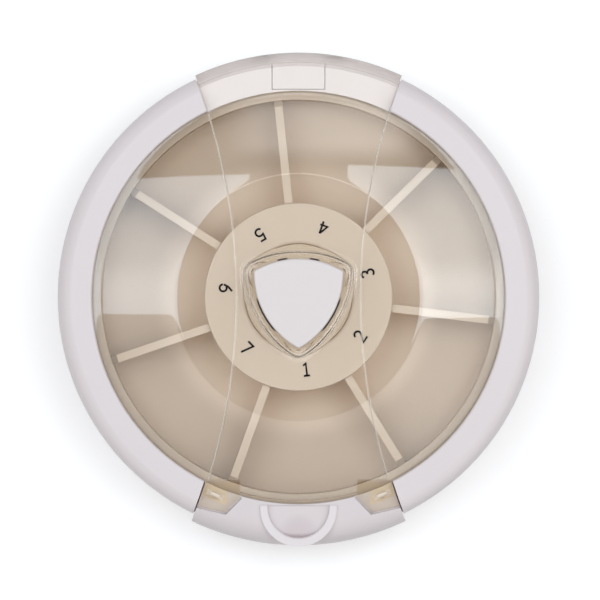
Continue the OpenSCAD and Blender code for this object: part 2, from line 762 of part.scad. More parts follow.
module drive_rotor() color(beige) {
  difference() {
    rotate_extrude() polygon([
      [boss_r + run_gap, rotor_skirt_z], [sleeve_r, rotor_skirt_z], [sleeve_r, rotor_flange_z],
      [ratchet_out_r, rotor_flange_z], [ratchet_out_r, rotor_flange_z + rotor_flange_t],
      [rotor_tube_r, rotor_flange_z + rotor_flange_t], [rotor_tube_r, rotor_top], [rotor_in_r, rotor_top],
      [rotor_in_r, boss_top + ratchet_gap], [boss_r + run_gap, boss_top + ratchet_gap]
    ]);
    for (a = [0, 120, 240]) rotate(a)
      helical_sector(rotor_in_r - 0.5, groove_r, lug_angle / 2 + 2, boss_top + 0.1, rotor_top + 0.5);
  }
  face_teeth(rotor_flange_z, -1);
}

module ratchet_ring() color(beige) {
  tube_ring(ratchet_in_r, ratchet_out_r, tray_floor_z, ratchet_t);
  face_teeth(tray_floor_z + ratchet_t, 1);
}

module pill_tray() color(beige) {
  difference() {
    union() {
      rotate_extrude() polygon([
        [boss_r + run_gap, tray_z], [tray_r, tray_z], [tray_r, tray_wall_z], [tray_in_r, tray_wall_z],
        [tray_in_r, tray_floor_z], [hub_r, tray_floor_z], [hub_r, disc_z], [hub_r - tray_wall, disc_z],
        [hub_r - tray_wall, tray_floor_z], [sleeve_r, tray_floor_z], [sleeve_r, tray_floor_z + sleeve_h],
        [boss_r + run_gap, tray_floor_z + sleeve_h]
      ]);
      for (k = [0:day_count - 1]) rotate(first_divider + k * day_pitch) divider();
    }
    for (k = [0:day_count - 1]) rotate(detent_at + k * day_pitch)
      translate([tray_r + 0.5, 0, tray_z - 1])
        cylinder(r = detent_bump_r + 0.2, h = detent_z + detent_h + 1.5 - tray_z, $fn = 32);
  }
}

// Upright wall from the hub to the outer wall; its top follows the cover.
module divider() {
  drop = dome_top - disc_z;
  knee_r = tray_in_r - 1.5;
  rotate([90, 0, 0]) translate([0, 0, -divider_t / 2]) linear_extrude(divider_t) polygon([
    [hub_r - tray_wall / 2, tray_floor_z - 0.5], [tray_in_r + tray_rim_t / 3, tray_floor_z - 0.5],
    [tray_in_r + tray_rim_t / 3, tray_wall_z - 0.5], [tray_in_r, tray_wall_z - 0.5],
    [knee_r, dome_z(knee_r) - drop], [flat_r, disc_z], [hub_r - tray_wall / 2, disc_z - 0.2]
  ]);
}

module number_disc() color(beige) {
  tube_ring(disc_hole_r, disc_r, disc_z, disc_t);
  tube_ring(hub_r - tray_wall - 1.2, hub_r - tray_wall - seat_gap, disc_z - 1.4, 1.4 + eps);
}

// Band of constant width along a line of points, for the strokes of a numeral.
module band(points, width) {
  last = len(points) - 1;
  function direction(a, b) = (b - a) / norm(b - a);
  function side(i) = let (
    before = direction(points[max(0, i - 1)], points[max(1, i)]),
    after = direction(points[min(last - 1, i)], points[min(last, i + 1)]),
    mean = direction([0, 0], before + after),
    bend = max(0.6, mean * before)
  ) [-mean[1], mean[0]] * width / 2 / bend;
  polygon(concat([for (i = [0:last]) points[i] + side(i)], [for (i = [last:-1:0]) points[i] - side(i)]));
}

// Centre lines of a numeral in a box 1 high and about 0.6 wide, about its middle.
function numeral_lines(n) =
  n == 1 ? [[[-0.2, 0.3], [0.02, 0.47], [0.02, -0.5]], [[-0.22, -0.47], [0.25, -0.47]]] :
  n == 2 ? [concat(arc([0, 0.2], 0.26, 165, -35, 8), [[-0.27, -0.47], [0.28, -0.47]])] :
  n == 3 ? [arc([-0.02, 0.24], 0.23, 150, -100, 8), arc([-0.02, -0.23], 0.25, 95, -150, 9)] :
  n == 4 ? [[[0.13, -0.5], [0.13, 0.47]], [[0.12, 0.44], [-0.28, -0.2], [0.3, -0.2]]] :
  n == 5 ? [concat([[0.22, 0.47], [-0.2, 0.47], [-0.24, 0.03]], arc([-0.02, -0.18], 0.28, 110, -145, 9))] :
  n == 6 ? [[[0.17, 0.48], [-0.13, 0.16], [-0.27, -0.2]], arc([0, -0.22], 0.27, 190, 510, 14)] :
  [[[-0.28, 0.46], [0.27, 0.46], [-0.08, -0.5]]];

module printed_numerals() color([0.08, 0.08, 0.08]) {
  for (k = [0:day_count - 1]) {
    rotate(day_angle(k)) translate([numeral_r, 0, disc_top]) rotate(90)
      for (line = numeral_lines(k + 1))
        linear_extrude(ink_t) band([for (p = line) p * numeral_h], stroke_w);
  }
}

base_shell();
base_feet();
rim_ring();
casing_screws();
left_window();
right_window();
hinge_block();
hinge_pin();
latch_pin();
centre_post();
post_screw();
retaining_clip();
thrust_washer();
detent_spring();
clear_lid();
front_latch();
button_cap();
button_plunger();
return_spring();
drive_rotor();
ratchet_ring();
pill_tray();
number_disc();
printed_numerals();
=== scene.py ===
"""Looks of the round push-button pill dispenser: moulded white casing, beige tray, clear covers."""
import json
import math

import bmesh
import bpy
from mathutils import Matrix, Vector

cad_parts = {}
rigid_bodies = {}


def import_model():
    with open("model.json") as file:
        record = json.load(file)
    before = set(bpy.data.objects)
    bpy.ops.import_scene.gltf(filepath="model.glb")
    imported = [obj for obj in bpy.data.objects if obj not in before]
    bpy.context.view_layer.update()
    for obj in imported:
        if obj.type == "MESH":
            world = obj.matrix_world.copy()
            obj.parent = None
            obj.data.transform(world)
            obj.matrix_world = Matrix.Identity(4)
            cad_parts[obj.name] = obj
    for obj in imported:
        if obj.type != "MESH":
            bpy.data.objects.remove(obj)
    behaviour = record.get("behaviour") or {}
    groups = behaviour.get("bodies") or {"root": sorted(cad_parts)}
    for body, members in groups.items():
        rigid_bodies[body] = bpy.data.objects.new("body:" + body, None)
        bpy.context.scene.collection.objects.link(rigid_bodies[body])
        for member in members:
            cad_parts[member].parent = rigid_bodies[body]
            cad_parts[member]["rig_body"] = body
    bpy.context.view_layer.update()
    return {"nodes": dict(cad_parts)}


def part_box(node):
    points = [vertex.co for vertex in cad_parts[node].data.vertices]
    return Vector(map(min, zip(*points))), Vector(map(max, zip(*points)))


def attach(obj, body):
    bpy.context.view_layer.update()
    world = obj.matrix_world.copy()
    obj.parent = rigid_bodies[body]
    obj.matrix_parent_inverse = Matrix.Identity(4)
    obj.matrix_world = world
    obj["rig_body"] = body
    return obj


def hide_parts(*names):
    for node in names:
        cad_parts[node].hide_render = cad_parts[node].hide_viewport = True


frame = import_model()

MM = 0.001


# Sizes in millimetres, read from the frame where it has them
def low(node, axis):
    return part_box(node)[0][axis] / MM


def high(node, axis):
    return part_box(node)[1][axis] / MM


CASING_R = high("rim_ring", 0)
RIM_TOP = high("rim_ring", 2)
WINDOW_R = CASING_R - 8
COVER_T = 1.8                       # thickness of the clear plastic
COVER_EDGE_R = WINDOW_R - 0.4
COVER_EDGE_Z = RIM_TOP - 0.75
COVER_TOP = high("left_window", 2)
FLAT_R = 28.1                       # the cover's level middle
CROWN_R = (COVER_EDGE_R ** 2 - FLAT_R ** 2) / (2 * (COVER_TOP - COVER_EDGE_Z))
CREASE = 0.9                        # length over which the level middle turns into the slope
ARC_X, ARC_R = 152.5, 138.4         # the two large arcs that bound the lid
PART_GAP = 0.12
LIP_R = CASING_R + 0.8
LIP_ROUND = 3.2
LIP_C = (LIP_R - LIP_ROUND, COVER_EDGE_Z - 0.35 - LIP_ROUND)
LIP_BOTTOM = 15.6
CAP_TOP = high("button_cap", 2)
CAP_FOOT = low("button_cap", 2)
CAP_REACH, CAP_CORNER = 11.6, 0.6
COLLAR_TOP = COVER_TOP + 3.6
HINGE_Y = (low("hinge_pin", 1) + high("hinge_pin", 1)) / 2
HINGE_Z = (low("hinge_pin", 2) + high("hinge_pin", 2)) / 2
FLANGE_R = WINDOW_R + 1.6            # the windows' flange under the rim
WINDOW_REACH = 42.2                 # half a window's length
SLOT_AT, SLOT_R = 22.87, WINDOW_R + 1.9
SLOT_L, SLOT_W = 4.1, 1.4
LUG_INNER_X = 13.3
EYE_NEAR, EYE_FAR, EYE_R = 6.5, 9.5, 2.3
PIN_BORE_R = 1.05
LUG_FLOOR = COVER_EDGE_Z - COVER_T - 0.05
LUG_TOP = COVER_EDGE_Z + 0.9
DISC_R = high("number_disc", 0)
DISC_TOP = high("number_disc", 2)
DISC_HOLE = 12.1
THUMB_Y, THUMB_R = -48.1, 8.7       # the U rib round the thumb recess
RECESS_FOOT_Y = -53.9


class Value:
    """A shader socket that takes part in sums."""

    def __init__(self, finish, socket):
        self.finish = finish
        self.socket = socket

    def maths(self, operation, first, second):
        made = self.finish.node("ShaderNodeMath", {"operation": operation}, {0: first, 1: second})
        return Value(self.finish, made.outputs[0])

    def __add__(self, other):
        return self.maths("ADD", self, other)

    def __sub__(self, other):
        return self.maths("SUBTRACT", self, other)

    def __rsub__(self, other):
        return self.maths("SUBTRACT", other, self)

    def __mul__(self, other):
        return self.maths("MULTIPLY", self, other)

    def __pow__(self, other):
        return self.maths("POWER", self, other)

    def larger(self, other):
        return self.maths("MAXIMUM", self, other)

    def ramp(self, start, end):
        """0 up to start, 1 from end on."""
        made = self.finish.node("ShaderNodeMapRange", {"interpolation_type": "SMOOTHSTEP"},
                                {"Value": self, "From Min": start, "From Max": end})
        return Value(self.finish, made.outputs[0])

    def fall(self, start, end):
        """1 up to start, 0 from end on."""
        return 1 - self.ramp(start, end)

    __radd__ = __add__
    __rmul__ = __mul__


class Finish:
    """A material in the making, or the world, with one method for any node."""

    def __init__(self, name, owner=None):
        self.owner = owner or bpy.data.materials.new(name)
        self.owner.use_nodes = True
        self.tree = self.owner.node_tree
        self.shader = self.tree.nodes.get("Principled BSDF")

    def plug(self, socket, value):
        if isinstance(value, Value):
            value = value.socket
        if isinstance(value, bpy.types.NodeSocket):
            self.tree.links.new(value, socket)
        else:
            socket.default_value = value

    def node(self, kind, settings=None, sockets=None):
        made = self.tree.nodes.new(kind)
        for key, value in (settings or {}).items():
            setattr(made, key, value)
        for key, value in (sockets or {}).items():
            self.plug(made.inputs[key], value)
        return made

    def value(self, kind, output, settings=None, sockets=None):
        return Value(self, self.node(kind, settings, sockets).outputs[output])

    def place(self, stretch=(1, 1, 1)):
        """Object coordinates in metres, stretched."""
        here = self.node("ShaderNodeTexCoord").outputs["Object"]
        return self.node("ShaderNodeMapping", None, {"Vector": here, "Scale": stretch}).outputs[0]

    def spot(self):
        """Object coordinates in millimetres, one by one."""
        split = self.node("ShaderNodeSeparateXYZ", None, {0: self.place()})
        return [Value(self, split.outputs[axis]) * (1 / MM) for axis in (0, 1, 2)]

    def noise(self, per_mm, detail=2.0, stretch=(1, 1, 1)):
        """Cloudy pattern from 0 to 1, with per_mm patches to a millimetre."""
        return self.value("ShaderNodeTexNoise", "Fac", None,
                          {"Vector": self.place(stretch), "Scale": per_mm / MM, "Detail": detail})

    def blend(self, share, first, second):
        """Colour between two colours."""
        made = self.node("ShaderNodeMix", {"data_type": "RGBA"}, {0: share})
        for key, value in ((6, first), (7, second)):
            self.plug(made.inputs[key], (*value, 1) if isinstance(value, tuple) else value)
        return made.outputs[2]

    def surface(self, **sockets):
        for key, value in sockets.items():
            self.plug(self.shader.inputs[key.replace("_", " ")], value)

    def bump(self, height, depth_mm, strength=1.0):
        made = self.node("ShaderNodeBump", None,
                         {"Height": height, "Distance": depth_mm * MM, "Strength": strength})
        self.plug(self.shader.inputs["Normal"], made.outputs[0])


def srgb(red, green, blue):
    """Colour from its 0 to 255 screen values."""
    return tuple(c / 12.92 if c <= 0.04045 else ((c + 0.055) / 1.055) ** 2.4
                 for c in (red / 255, green / 255, blue / 255))


def moulded(name, colour, shade, roughness, grain_mm=0.02, grain_per_mm=2.6, marks=None):
    """Moulded plastic: fine spark-eroded grain, slow changes of gloss and faint flow clouds.
    The last argument, where given, paints light and shade into its colour from place to place."""
    finish = Finish(name)
    clouds = finish.noise(0.03, 3)
    flow = finish.noise(0.11, 4, (1, 0.35, 1))
    grain = finish.noise(grain_per_mm, 3)
    tone = finish.blend(clouds * 0.5 + flow * 0.5, colour, shade)
    if marks:
        tone = marks(finish, tone)
    finish.surface(
        Base_Color=tone,
        Roughness=roughness + clouds * 0.1 + flow * 0.06 + grain * 0.05,
    )
    finish.shader.inputs["IOR"].default_value = 1.5
    finish.bump(grain, grain_mm)
    return finish.owner


def painted_tray_light(finish, tone):
    """Painted light and shade low in the tray: its floor painted lighter near the middle and darker further
    out, and the top of its outer wall painted darker.
    """
    x, y, z = finish.spot()
    out = x * x + y * y
    floor = finish.blend(out.ramp(26 ** 2, 34 ** 2), srgb(226, 208, 190), srgb(194, 175, 156))
    floor = finish.blend(out.ramp(44.5 ** 2, 45.1 ** 2), floor, srgb(196, 178, 160))
    return finish.blend(z.ramp(16.6, 21.5), floor, tone)


def painted_latch_light(finish, tone):
    """Painted light and shade on the latch: painted shade at the foot of the thumb recess, a painted highlight
    on its rib, and tan painted shade on the hooks in their slots.
    """
    x, y, z = finish.spot()
    foot = y - RECESS_FOOT_Y
    out = x * x + (y - THUMB_Y) ** 2
    rib = out.ramp(6.9 ** 2, 7.2 ** 2)
    tone = finish.blend((x * x + foot * foot).fall(1, 26) * (1 - rib) * 0.8, tone, srgb(206, 194, 196))
    rib = rib * out.fall(8.6 ** 2, 8.9 ** 2) * (y * -1).ramp(47, 48)
    tone = finish.blend(rib, tone, srgb(229, 222, 223))
    hook = (x * x).ramp(16.2 ** 2, 16.5 ** 2) * z.ramp(16, 16.4) * (x * x + y * y).fall(50.1 ** 2, 50.3 ** 2)
    return finish.blend(hook, tone, srgb(226, 211, 192))


def beside_cap(finish, tone):
    """Painted shadow just outside the push button, as dark slits: one long one on each front side, two short
    ones behind.
    """
    x, y, z = finish.spot()
    core = CAP_REACH - CAP_CORNER
    away = [((x - core * math.cos(a)) ** 2 + (y - core * math.sin(a)) ** 2) ** 0.5
            for a in (math.radians(270), math.radians(30), math.radians(150))]
    out = away[0].larger(away[1]).larger(away[2]) - (math.sqrt(3) * core + CAP_CORNER)
    slit_shadow = out.ramp(0.0, 0.12) * out.fall(0.38, 0.5) * z.ramp(DISC_TOP - 3, DISC_TOP - 2.5)
    front = y.ramp(-8.2, -7.2) * y.fall(-1.2, 0.2)
    behind = y.ramp(4, 5) * (x * x).ramp(2.2 ** 2, 2.9 ** 2) * (x * x).fall(4.4 ** 2, 5.1 ** 2)
    return finish.blend(slit_shadow * front.larger(behind), tone, srgb(38, 29, 24))


def clear_plastic():
    """Clear cover: faint haze and wipe marks, a little amber in the thick lugs, grey in the lip behind
    the rim, and a painted reflection along the cut between lid and windows: a matt white band. Light goes
    straight through to what lies inside."""
    finish = Finish("clear_cover")
    wipes = finish.noise(0.05, 4, (1, 0.25, 1))
    x, y, z = finish.spot()
    lip = (x * x + y * y).ramp(53.2 ** 2, 54.0 ** 2)
    lug = (y * -1).ramp(41.9, 42.4) * (x * x).ramp(13.0 ** 2, 13.4 ** 2)
    tint = finish.blend(lip, finish.blend(lug, srgb(253, 252, 249), srgb(250, 243, 230)), srgb(230, 224, 221))
    finish.surface(Base_Color=tint, Roughness=wipes ** 3 * 0.08 + lip * 0.7 + 0.015)
    finish.shader.inputs["Transmission Weight"].default_value = 1
    finish.shader.inputs["IOR"].default_value = 1.49
    # Painted reflection: a matt white band along the cut stands in for the light its rounded edges reflect.
    cut = ARC_X - (ARC_R ** 2 - y * y) ** 0.5 - (x * x) ** 0.5
    cut_reflection = (cut * cut).fall(0.1 ** 2, 0.22 ** 2) * (x * x + y * y).fall(46.3 ** 2, 46.6 ** 2) * 0.45
    matt = finish.node("ShaderNodeBsdfDiffuse", None, {"Color": (*srgb(246, 239, 230), 1)})
    cover = finish.node("ShaderNodeMixShader", None,
                        {0: cut_reflection, 1: finish.shader.outputs[0], 2: matt.outputs[0]})
    path = finish.node("ShaderNodeLightPath")
    straight = Value(finish, path.outputs["Is Shadow Ray"])
    straight = straight.larger(Value(finish, path.outputs["Is Diffuse Ray"]))
    through = finish.node("ShaderNodeBsdfTransparent", None, {"Color": (*srgb(253, 252, 250), 1)})
    mixed = finish.node("ShaderNodeMixShader", None,
                        {0: straight, 1: cover.outputs[0], 2: through.outputs[0]})
    finish.tree.links.new(mixed.outputs[0], finish.tree.nodes["Material Output"].inputs["Surface"])
    return finish.owner


def bright_steel():
    """Drawn steel: fine scratches along X and a cloudy polish."""
    finish = Finish("bright_steel")
    scratches = finish.noise(6, 2, (0.05, 1, 1))
    clouds = finish.noise(0.3, 2)
    finish.surface(
        Base_Color=finish.blend(clouds, srgb(196, 196, 199), srgb(214, 214, 216)),
        Roughness=scratches * 0.18 + clouds * 0.1 + 0.16,
    )
    finish.shader.inputs["Metallic"].default_value = 1
    finish.bump(scratches, 0.01)
    return finish.owner


def soft_rubber():
    """Grey rubber with a dusty, pitted skin."""
    finish = Finish("soft_rubber")
    pits = finish.noise(2.2, 4)
    dust = finish.noise(0.25, 3)
    finish.surface(Base_Color=finish.blend(dust ** 2, srgb(84, 84, 86), srgb(120, 118, 115)),
                   Roughness=dust * 0.2 + 0.68)
    finish.bump(pits, 0.06)
    return finish.owner


def black_ink():
    """Pad-printed ink, a little uneven where the pad lifted."""
    finish = Finish("black_ink")
    patches = finish.noise(3.5, 3)
    finish.surface(Base_Color=finish.blend(patches ** 3, srgb(12, 9, 8), srgb(34, 26, 22)),
                   Roughness=patches * 0.2 + 0.5)
    finish.shader.inputs["Specular IOR Level"].default_value = 0.1
    finish.bump(patches, 0.01)
    return finish.owner


WHITE = moulded("white_plastic", srgb(225, 217, 218), srgb(221, 212, 213), 0.3)
BUTTON = moulded("button_plastic", srgb(227, 220, 219), srgb(225, 217, 217), 0.2, 0.006, 1.4)
# beige_plastic gets light and shade painted low in the tray.
BEIGE = moulded("beige_plastic", srgb(223, 206, 190), srgb(219, 201, 183), 0.42, 0.025, 3.2, painted_tray_light)
# plunger_plastic is the beige painted darker, as shade round the push button, and carries the painted slit
# shadows beside the cap.
PLUNGER = moulded("plunger_plastic", srgb(214, 195, 172), srgb(209, 189, 165), 0.42, 0.025, 3.2, beside_cap)
# latch_plastic gets painted shade and a painted highlight round the thumb recess, and painted shade on the
# hooks.
THUMB = moulded("latch_plastic", srgb(220, 212, 213), srgb(216, 207, 208), 0.3, marks=painted_latch_light)
SLIP = moulded("slip_plastic", srgb(236, 235, 230), srgb(229, 228, 222), 0.28, 0.008, 2)
CLEAR = clear_plastic()
STEEL = bright_steel()
RUBBER = soft_rubber()
INK = black_ink()


def arc(centre, radius, start, end, steps):
    """Points on an arc, angles in degrees."""
    angles = [math.radians(start + (end - start) * i / steps) for i in range(steps + 1)]
    return [(centre[0] + radius * math.cos(a), centre[1] + radius * math.sin(a)) for a in angles]


def closed(bm):
    bmesh.ops.remove_doubles(bm, verts=bm.verts, dist=1e-7)
    bmesh.ops.recalc_face_normals(bm, faces=bm.faces)
    return bm


def extruded(corners, shift):
    """Solid between a flat face and its copy, shifted by a vector."""
    bm = bmesh.new()
    face = bm.faces.new([bm.verts.new(Vector(corner) * MM) for corner in corners])
    copied = bmesh.ops.extrude_face_region(bm, geom=[face])["geom"]
    bmesh.ops.translate(bm, vec=[d * MM for d in shift],
                        verts=[v for v in copied if isinstance(v, bmesh.types.BMVert)])
    return bm


def prism(outline, bottom, top):
    """Upright solid on a plan outline."""
    return closed(extruded([(x, y, bottom) for x, y in outline], (0, 0, top - bottom)))


def cylinder(radius, length, segments):
    bm = bmesh.new()
    bmesh.ops.create_cone(bm, cap_ends=True, segments=segments, radius1=radius * MM, radius2=radius * MM,
                          depth=length * MM)
    return bm


def carved(bm, cutter, operation="DIFFERENCE"):
    """bm cut by, cut to, or fused with another solid."""
    held = []
    for part in (bm, cutter):
        mesh = bpy.data.meshes.new("held")
        part.to_mesh(mesh)
        part.free()
        held.append(bpy.data.objects.new("held", mesh))
        bpy.context.scene.collection.objects.link(held[-1])
    boolean = held[0].modifiers.new("cut", "BOOLEAN")
    boolean.operation = operation
    boolean.solver = "MANIFOLD"
    boolean.object = held[1]
    result = bmesh.new()
    result.from_object(held[0], bpy.context.evaluated_depsgraph_get())
    for part in held:
        mesh = part.data
        bpy.data.objects.remove(part)
        bpy.data.meshes.remove(mesh)
    return result


def softened(bm, radius, segments=3, sharper_than=35):
    """Edges that are sharper than an angle get a small radius."""
    sharp = [e for e in bm.edges
             if len(e.link_faces) == 2 and e.calc_face_angle(0) > math.radians(sharper_than)]
    bmesh.ops.bevel(bm, geom=sharp, offset=radius * MM, offset_type="OFFSET", segments=segments, profile=0.5,
                    affect="EDGES", clamp_overlap=True, material=-1)
    return bm


def moulded_copy(node):
    """The CAD solid's surface with its triangles merged into plain faces."""
    bm = bmesh.new()
    bm.from_mesh(frame["nodes"][node].data)
    bmesh.ops.remove_doubles(bm, verts=bm.verts, dist=2e-6)
    bmesh.ops.dissolve_limit(bm, angle_limit=math.radians(0.5), verts=bm.verts, edges=bm.edges)
    return bm


def piece(name, bm, material, body, stands_for=(), smooth_below=32):
    """Hands a finished surface to the frame."""
    mesh = bpy.data.meshes.new(name)
    bm.to_mesh(mesh)
    bm.free()
    mesh.polygons.foreach_set("use_smooth", [True] * len(mesh.polygons))
    mesh.set_sharp_from_angle(angle=math.radians(smooth_below))
    made = bpy.data.objects.new(name, mesh)
    bpy.context.scene.collection.objects.link(made)
    mesh.materials.append(material)
    made.modifiers.new("level_faces", "WEIGHTED_NORMAL").keep_sharp = True
    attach(made, body)
    if stands_for:
        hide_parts(*stands_for)
    return made


def half_width(y, grow=0.0):
    """Half the lid's width at a distance from the middle line."""
    return ARC_X - math.sqrt((ARC_R - grow) ** 2 - y * y)


def cover_z(r):
    """Height of the clear cover's top: a level middle, a soft crease, then part of a large sphere."""
    near, far = FLAT_R - CREASE / 2, FLAT_R + CREASE / 2
    if r <= near:
        return COVER_TOP
    if r >= far:
        return COVER_TOP - (r * r - FLAT_R * FLAT_R) / (2 * CROWN_R)
    drop = (far * far - FLAT_R * FLAT_R) / (2 * CROWN_R)
    slope = far / CROWN_R * CREASE
    share = (r - near) / CREASE
    return COVER_TOP - ((slope - 2 * drop) * share ** 3 + (3 * drop - slope) * share ** 2)


def sheet_solid(bm, thickness, edge_round):
    """A top surface thickened downwards, the edges of its rim broken."""
    bmesh.ops.recalc_face_normals(bm, faces=bm.faces)
    middle = min(bm.faces, key=lambda f: f.calc_center_median().xy.length)
    if middle.normal.z < 0:
        bmesh.ops.reverse_faces(bm, faces=bm.faces)
    bmesh.ops.solidify(bm, geom=bm.faces, thickness=thickness * MM)
    bmesh.ops.recalc_face_normals(bm, faces=bm.faces)
    return softened(bm, edge_round, 1, 55)


def cover_window(side):
    """Fixed clear window beside the lid, with its flange under the rim."""
    across, along = 40, 150
    bm = bmesh.new()
    bmesh.ops.create_grid(bm, x_segments=across, y_segments=along, size=1)
    inner_r = ARC_R - PART_GAP / 2
    for v in bm.verts:
        share, lengthwise = (v.co.x + 1) / 2, v.co.y
        y = WINDOW_REACH * math.sin(lengthwise * math.pi / 2)
        inner = ARC_X - math.sqrt(inner_r ** 2 - y * y)
        rim = math.sqrt(FLANGE_R ** 2 - y * y)
        x = inner + (rim - inner) * share
        v.co = Vector((side * x, y, cover_z(min(math.hypot(x, y), COVER_EDGE_R)))) * MM
    return sheet_solid(bm, COVER_T, 0.05)


def lid_plate():
    """The lid's clear hourglass plate, from the latch over the middle to the lip behind the rim."""
    across, front, back, lip = 44, 80, 80, 34
    rows = [("dome", -1 + i / front) for i in range(front + 1)]
    rows += [("dome", (i + 1) / back) for i in range(back)]
    flat = LIP_C[0] - COVER_EDGE_R
    curve = LIP_ROUND * math.pi / 2
    drop = LIP_C[1] - LIP_BOTTOM
    rows += [("lip", (flat + curve + drop) * (i + 1) / lip) for i in range(lip)]
    bm = bmesh.new()
    bmesh.ops.create_grid(bm, x_segments=across, y_segments=len(rows) - 1, size=1)
    for v in bm.verts:
        kind, place = rows[round((v.co.y + 1) / 2 * (len(rows) - 1))]
        share = v.co.x
        if kind == "dome":
            r_edge, z = COVER_EDGE_R, None
        elif place < flat:
            r_edge, z = COVER_EDGE_R + place, COVER_EDGE_Z - 0.35 * place / flat
        elif place < flat + curve:
            turn = (place - flat) / LIP_ROUND
            r_edge, z = LIP_C[0] + LIP_ROUND * math.sin(turn), LIP_C[1] + LIP_ROUND * math.cos(turn)
        else:
            r_edge, z = LIP_R, LIP_C[1] - (place - flat - curve)
        x = y = 0
        for _ in range(8):
            y = math.sqrt(r_edge ** 2 - x * x) * (place if kind == "dome" else 1)
            x = share * half_width(y, -PART_GAP / 2)
        v.co = Vector((x, y, cover_z(math.hypot(x, y)) if z is None else z)) * MM
    return sheet_solid(bm, COVER_T, 0.05)


def bulged_triangle(reach, corner):
    """Plan of the button: three bulging sides and rounded corners, the first corner to the front."""
    core = reach - corner
    side = math.sqrt(3) * core + corner
    points = []
    for a in (270, 30, 150):
        x, y = core * math.cos(math.radians(a)), core * math.sin(math.radians(a))
        points += arc((x, y), corner, a - 30, a + 30, 6)
        back = math.radians(a - 120)
        points += arc((core * math.cos(back), core * math.sin(back)), side, a + 30, a + 90, 24)[1:-1]
    return points


def tapered(bm, low_z, high_z, low_scale, high_scale):
    """Scales a solid's plan evenly from its foot to its top."""
    for v in bm.verts:
        share = (v.co.z / MM - low_z) / (high_z - low_z)
        scale = low_scale + (high_scale - low_scale) * share
        v.co.x *= scale
        v.co.y *= scale
    return bm


def lug_outline():
    """Plan of the right lug: within the lid's edge up to the rim's inside, a little wider beyond it."""
    def edge(start, end, grow):
        return [(half_width(y, grow), y) for y in (start + (end - start) * i / 8 for i in range(9))]

    return ([(LUG_INNER_X, -WINDOW_R + 5.5)] + edge(-WINDOW_R + 5.5, -42.07, -PART_GAP / 2)
            + edge(-41.88, -47.6, 0.5)
            + [(LUG_INNER_X + 3.4, -WINDOW_R - 2.1), (LUG_INNER_X, -WINDOW_R + 1.3)])


def loft(outlines):
    """Solid through closed plan outlines of equal length, each a list of (x, y) with its height."""
    bm = bmesh.new()
    rings = [[bm.verts.new(Vector((x, y, z)) * MM) for x, y in outline] for outline, z in outlines]
    for lower, upper in zip(rings, rings[1:]):
        for i in range(len(lower)):
            bm.faces.new((lower[i - 1], lower[i], upper[i], upper[i - 1]))
    bm.faces.new(rings[0][::-1])
    bm.faces.new(rings[-1])
    return closed(bm)


def collar_outline(out):
    """Plan of the collar, out mm away from its upper outside edge; its sides bulge less than the button's."""
    points = bulged_triangle(CAP_REACH + 1.7 + out, CAP_CORNER + 1.5 + max(out, -0.8))
    pinched = []
    for x, y in points:
        corner = (1 + math.sin(3 * math.atan2(y, x))) / 2
        share = 0.955 + 0.045 * corner
        pinched.append((x * share, y * share))
    return pinched


def clear_lid():
    foot, edge = 1.5, 0.35
    outside = [(collar_outline(0.35 + foot * (1 - math.sin(a))), COVER_TOP - 0.02 + foot * (1 - math.cos(a)))
               for a in (math.pi / 2 * i / 8 for i in range(9))]
    outside = [(collar_outline(0.35 + foot + 0.01), COVER_TOP - COVER_T / 2)] + outside
    outside += [(collar_outline(-edge * (1 - math.cos(a))), COLLAR_TOP - edge * (1 - math.sin(a)))
                for a in (math.pi / 2 * i / 5 for i in range(6))]
    bm = carved(lid_plate(), loft(outside), "UNION")
    hole_low, hole_high = CAP_REACH + 1.35, CAP_REACH + 0.5
    under, over = COVER_TOP - COVER_T - 0.5, COLLAR_TOP + 0.5
    hole = prism(bulged_triangle(hole_low, CAP_CORNER + 0.5), under, over)
    tapered(hole, under, over, 1, hole_high / hole_low)
    bm = carved(bm, hole)
    for side in (1, -1):
        lug = prism([(side * x, y) for x, y in lug_outline()], LUG_FLOOR, LUG_TOP)
        lug = softened(lug, 0.35, 3, 40)
        half_l, half_w = SLOT_L / 2, SLOT_W / 2
        slot = prism([(-half_l, -half_w), (half_l, -half_w), (half_l, half_w), (-half_l, half_w)], 0, 40)
        bmesh.ops.translate(slot, vec=(0, -SLOT_R * MM, 0), verts=slot.verts)
        bmesh.ops.rotate(slot, cent=(0, 0, 0), verts=slot.verts,
                         matrix=Matrix.Rotation(math.radians(side * SLOT_AT), 3, "Z"))
        bm = carved(bm, carved(lug, slot), "UNION")
        bm = carved(bm, knuckle(side), "UNION")
    return bm


def knuckle(side):
    """Hinge eye below the lip, cut back to stay inside it."""
    eye = [(HINGE_Y + 0.2, HINGE_Z + EYE_R - 0.1)]
    eye += arc((HINGE_Y, HINGE_Z), EYE_R, 90, 360, 36)
    eye += [(LIP_R - 0.9, LIP_BOTTOM + 0.8), (LIP_R - 2.1, LIP_BOTTOM + 0.8)]
    bm = extruded([(EYE_NEAR, y, z) for y, z in eye], (EYE_FAR - EYE_NEAR, 0, 0))
    if side < 0:
        bmesh.ops.scale(bm, vec=(-1, 1, 1), verts=bm.verts)
    bm = carved(closed(bm), cylinder(LIP_R - 0.15, 80, 256), "INTERSECT")
    bore = cylinder(PIN_BORE_R, 60, 48)
    bmesh.ops.rotate(bore, cent=(0, 0, 0), matrix=Matrix.Rotation(math.pi / 2, 3, "Y"), verts=bore.verts)
    bmesh.ops.translate(bore, vec=Vector((0, HINGE_Y, HINGE_Z)) * MM, verts=bore.verts)
    return carved(bm, bore)


def button_cap():
    """Push button with a level top and rounded upper edge."""
    bm = prism(bulged_triangle(CAP_REACH, CAP_CORNER), CAP_FOOT, CAP_TOP)
    top = [f for f in bm.faces if f.normal.z > 0.9]
    edges = [e for f in top for e in f.edges]
    bmesh.ops.bevel(bm, geom=edges, offset=0.55 * MM, offset_type="OFFSET", segments=5, profile=0.5,
                    affect="EDGES", clamp_overlap=True, material=-1)
    return bm


